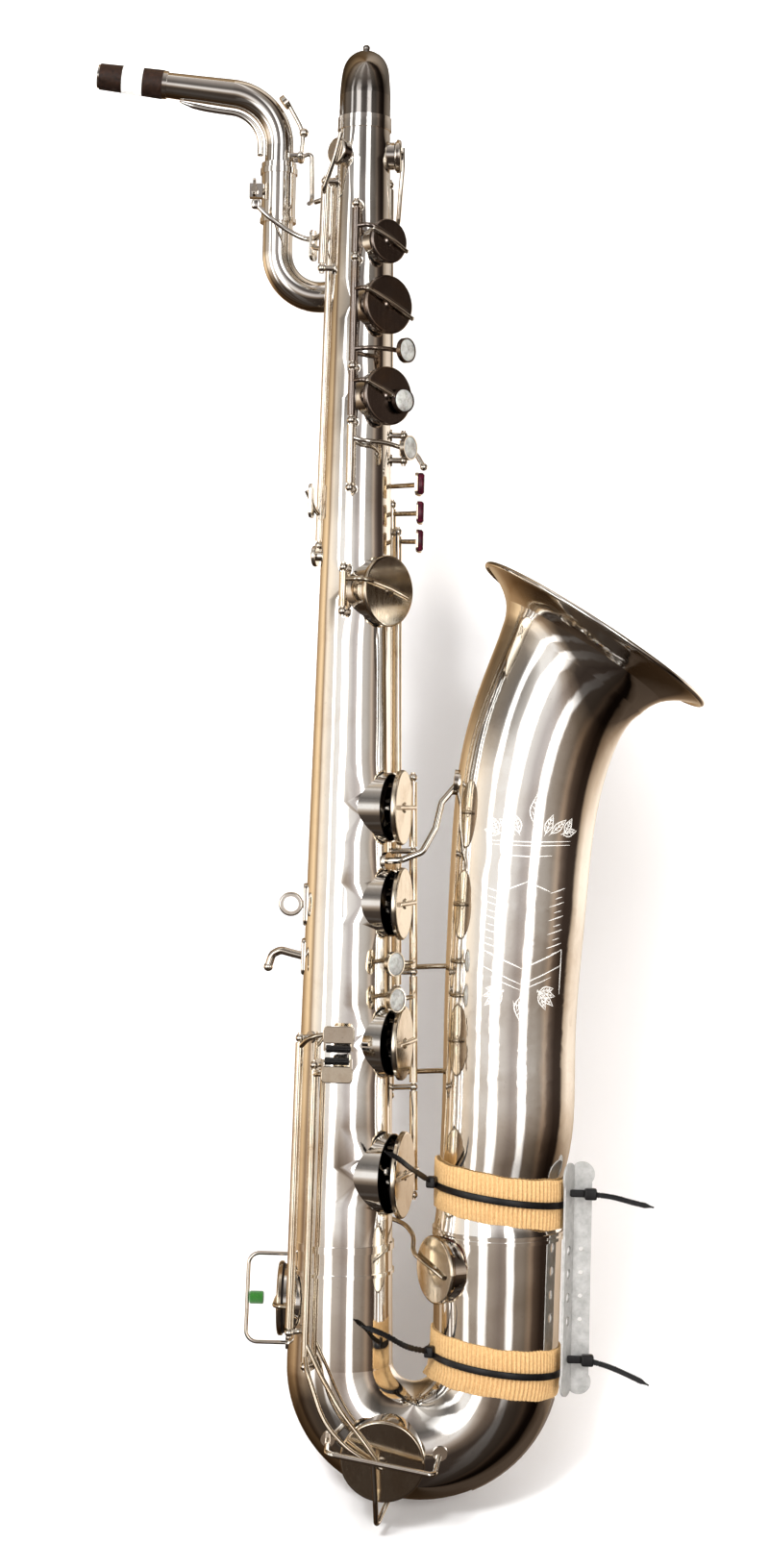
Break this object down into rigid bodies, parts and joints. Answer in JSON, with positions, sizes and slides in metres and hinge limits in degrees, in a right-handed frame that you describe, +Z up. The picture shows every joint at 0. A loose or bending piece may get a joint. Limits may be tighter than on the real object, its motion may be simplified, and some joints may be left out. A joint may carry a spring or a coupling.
{
  "type": "baritone saxophone",
  "caption": "Baritone saxophone with hinged sprung keys, swivelling neck, looped top bow, upright bell and card wraps tied to a bracket.",
  "frame": {"origin": "centre of the strap ring's hole on the player's left of the body", "axes": "+Z up along the body tube towards the top bow, +X from the body towards the bell, +Y from the listener's side to the player's side behind the body"},
  "size_m": [0.4431, 0.1838, 1.0394],
  "materials": {
    "silver_plate": "polished silver plate, lightly tarnished",
    "leather_pad": "dark aged leather",
    "black_roller": "gloss",
    "cork": "dark greased cork",
    "white_tape": "matt",
    "green_felt": "felt",
    "corrugated_card": "brown corrugated card",
    "black_nylon": "satin",
    "grey_steel": "zinc plated"
  },
  "bodies": {
    "root": {"body_tube": "silver_plate", "bow": "silver_plate", "bell": "silver_plate", "top_bow": "silver_plate", "crook_pipe": "silver_plate", "neck_receiver": "silver_plate", "tube_ferrules": "silver_plate", "bow_guard_strip": "silver_plate", "bell_brace": "silver_plate", "key_posts": "silver_plate", "pivot_rods": "silver_plate", "thumb_hook": "silver_plate", "thumb_rest": "silver_plate", "strap_ring": "silver_plate", "eflat_guard": "silver_plate", "low_c_guard": "silver_plate", "felt_bumper": "green_felt", "card_wraps": "corrugated_card", "cable_ties": "black_nylon", "display_bracket": "grey_steel"},
    "clamp_screw": {"clamp_screw": "silver_plate"},
    "neck": {"neck_tube": "silver_plate", "neck_cork": "cork", "cork_tape": "white_tape"},
    "neck_octave": {"neck_octave_key": "silver_plate"},
    "octave_lever": {"octave_thumb_lever": "silver_plate"},
    "g_touch": {"g_touch": "silver_plate"},
    "gsharp_lever": {"gsharp_lever": "silver_plate"},
    "low_csharp": {"low_csharp_key": "silver_plate", "low_csharp_pad": "leather_pad"},
    "low_b": {"low_b_key": "silver_plate", "low_b_pad": "leather_pad"},
    "low_bflat": {"low_bflat_key": "silver_plate", "low_bflat_pad": "leather_pad"},
    "eflat": {"eflat_key": "silver_plate", "eflat_pad": "leather_pad"},
    "eflat_roller": {"eflat_roller": "black_roller"},
    "low_c": {"low_c_key": "silver_plate", "low_c_pad": "leather_pad"},
    "low_c_roller": {"low_c_roller": "black_roller"},
    "palm_d": {"palm_d_key": "silver_plate"},
    "high_e": {"high_e_key": "silver_plate"},
    "c": {"c_key": "silver_plate", "c_pad": "leather_pad"},
    "b": {"b_key": "silver_plate", "b_pad": "leather_pad"},
    "a": {"a_key": "silver_plate", "a_pad": "leather_pad"},
    "gsharp": {"gsharp_key": "silver_plate", "gsharp_pad": "leather_pad"},
    "f_sharp": {"f_sharp_key": "silver_plate", "f_sharp_pad": "leather_pad"},
    "f": {"f_key": "silver_plate", "f_pad": "leather_pad"},
    "e": {"e_key": "silver_plate", "e_pad": "leather_pad"},
    "d": {"d_key": "silver_plate", "d_pad": "leather_pad"}
  },
  "joints": [
    {"name": "clamp_screw_turn", "type": "hinge", "parent": "root", "child": "clamp_screw", "pos_m": [-0.03795, 0.044, 0.514], "axis": [0, 1, 0], "continuous": true},
    {"name": "neck_swivel", "type": "hinge", "parent": "root", "child": "neck", "pos_m": [-0.02095, 0.044, 0.513], "axis": [0, 0, 1], "range_deg": [-25, 25]},
    {"name": "neck_octave_hinge", "type": "hinge", "parent": "neck", "child": "neck_octave", "pos_m": [-0.00545, 0.044, 0.539], "axis": [0, 1, 0], "range_deg": [0, 4], "stiffness_Nm_per_rad": 0.01},
    {"name": "octave_hinge", "type": "hinge", "parent": "root", "child": "octave_lever", "pos_m": [0.0163, 0.01733, 0.363], "axis": [0.0181, -0.0127, 0.9998], "range_deg": [0, 4], "stiffness_Nm_per_rad": 0.03},
    {"name": "c_hinge", "type": "hinge", "parent": "root", "child": "c", "pos_m": [0.03667, -0.02765, 0.463], "axis": [0.0035, 0.0219, 0.9998], "range_deg": [0, 6], "stiffness_Nm_per_rad": 0.03},
    {"name": "b_hinge", "type": "hinge", "parent": "root", "child": "b", "pos_m": [0.0365, -0.02874, 0.413], "axis": [0.0035, 0.0219, 0.9998], "range_deg": [0, 6], "stiffness_Nm_per_rad": 0.03},
    {"name": "a_hinge", "type": "hinge", "parent": "root", "child": "a", "pos_m": [0.0363, -0.02997, 0.357], "axis": [0.0035, 0.0219, 0.9998], "range_deg": [0, 6], "stiffness_Nm_per_rad": 0.03},
    {"name": "g_touch_hinge", "type": "hinge", "parent": "root", "child": "g_touch", "pos_m": [0.03615, -0.03093, 0.313], "axis": [0.0035, 0.0219, 0.9998], "range_deg": [0, 5], "stiffness_Nm_per_rad": 0.03},
    {"name": "gsharp_hinge", "type": "hinge", "parent": "root", "child": "gsharp", "pos_m": [0.03298, -0.03236, 0.221], "axis": [0.0054, 0.0215, 0.9998], "range_deg": [-12, 0], "stiffness_Nm_per_rad": 0.03},
    {"name": "gsharp_lever_hinge", "type": "hinge", "parent": "root", "child": "gsharp_lever", "pos_m": [0.0731, 0.00112, 0.324], "axis": [-0.0221, -0.0008, 0.9998], "range_deg": [-12, 0], "stiffness_Nm_per_rad": 0.03},
    {"name": "f_sharp_hinge", "type": "hinge", "parent": "root", "child": "f_sharp", "pos_m": [0.08538, 0.01355, 0.063], "axis": [-0.0212, -0.0065, 0.9998], "range_deg": [-8, 0], "stiffness_Nm_per_rad": 0.03},
    {"name": "f_hinge", "type": "hinge", "parent": "root", "child": "f", "pos_m": [0.08665, 0.01394, 0.003], "axis": [-0.0212, -0.0065, 0.9998], "range_deg": [-8, 0], "stiffness_Nm_per_rad": 0.03},
    {"name": "e_hinge", "type": "hinge", "parent": "root", "child": "e", "pos_m": [0.08866, 0.01456, -0.092], "axis": [-0.0212, -0.0065, 0.9998], "range_deg": [-8, 0], "stiffness_Nm_per_rad": 0.03},
    {"name": "d_hinge", "type": "hinge", "parent": "root", "child": "d", "pos_m": [0.09046, 0.01511, -0.177], "axis": [-0.0212, -0.0065, 0.9998], "range_deg": [-8, 0], "stiffness_Nm_per_rad": 0.03},
    {"name": "low_csharp_hinge", "type": "hinge", "parent": "root", "child": "low_csharp", "pos_m": [0.06423, 0.03076, 0.033], "axis": [-0.0133, -0.0177, 0.9998], "range_deg": [-5, 0], "stiffness_Nm_per_rad": 0.03},
    {"name": "low_b_hinge", "type": "hinge", "parent": "root", "child": "low_b", "pos_m": [0.06962, 0.02483, 0.063], "axis": [-0.0167, -0.0145, 0.9998], "range_deg": [-3.2, 0], "stiffness_Nm_per_rad": 0.03},
    {"name": "low_bflat_hinge", "type": "hinge", "parent": "root", "child": "low_bflat", "pos_m": [0.07338, 0.01792, 0.103], "axis": [-0.0194, -0.0107, 0.9998], "range_deg": [-3.2, 0], "stiffness_Nm_per_rad": 0.03},
    {"name": "eflat_hinge", "type": "hinge", "parent": "root", "child": "eflat", "pos_m": [0.00738, -0.02927, -0.197], "axis": [0.0167, 0.0145, 0.9998], "range_deg": [0, 10], "stiffness_Nm_per_rad": 0.03},
    {"name": "low_c_hinge", "type": "hinge", "parent": "root", "child": "low_c", "pos_m": [0.01854, -0.03467, -0.207], "axis": [0.0121, 0.0186, 0.9998], "range_deg": [0, 3.5], "stiffness_Nm_per_rad": 0.03},
    {"name": "palm_d_hinge", "type": "hinge", "parent": "root", "child": "palm_d", "pos_m": [0.0136, -0.0024, 0.483], "axis": [0.0221, 0.0019, 0.9998], "range_deg": [-10, 0], "stiffness_Nm_per_rad": 0.03},
    {"name": "high_e_hinge", "type": "hinge", "parent": "root", "child": "high_e", "pos_m": [0.0608, 0.01975, 0.443], "axis": [-0.0157, -0.0157, 0.9998], "range_deg": [0, 10], "stiffness_Nm_per_rad": 0.03},
    {"name": "eflat_roller_spin", "type": "hinge", "parent": "eflat", "child": "eflat_roller", "pos_m": [0.03635, -0.0452, -0.097], "axis": [1, 0, 0], "continuous": true},
    {"name": "low_c_roller_spin", "type": "hinge", "parent": "low_c", "child": "low_c_roller", "pos_m": [0.03556, -0.04619, -0.10537], "axis": [0.9981, -0.061, 0.0012], "continuous": true}
  ],
  "couplings": [
    {"joint": "neck_octave_hinge", "follows": "octave_hinge", "ratio": 1},
    {"joint": "gsharp_hinge", "follows": "gsharp_lever_hinge", "ratio": 1}
  ]
}
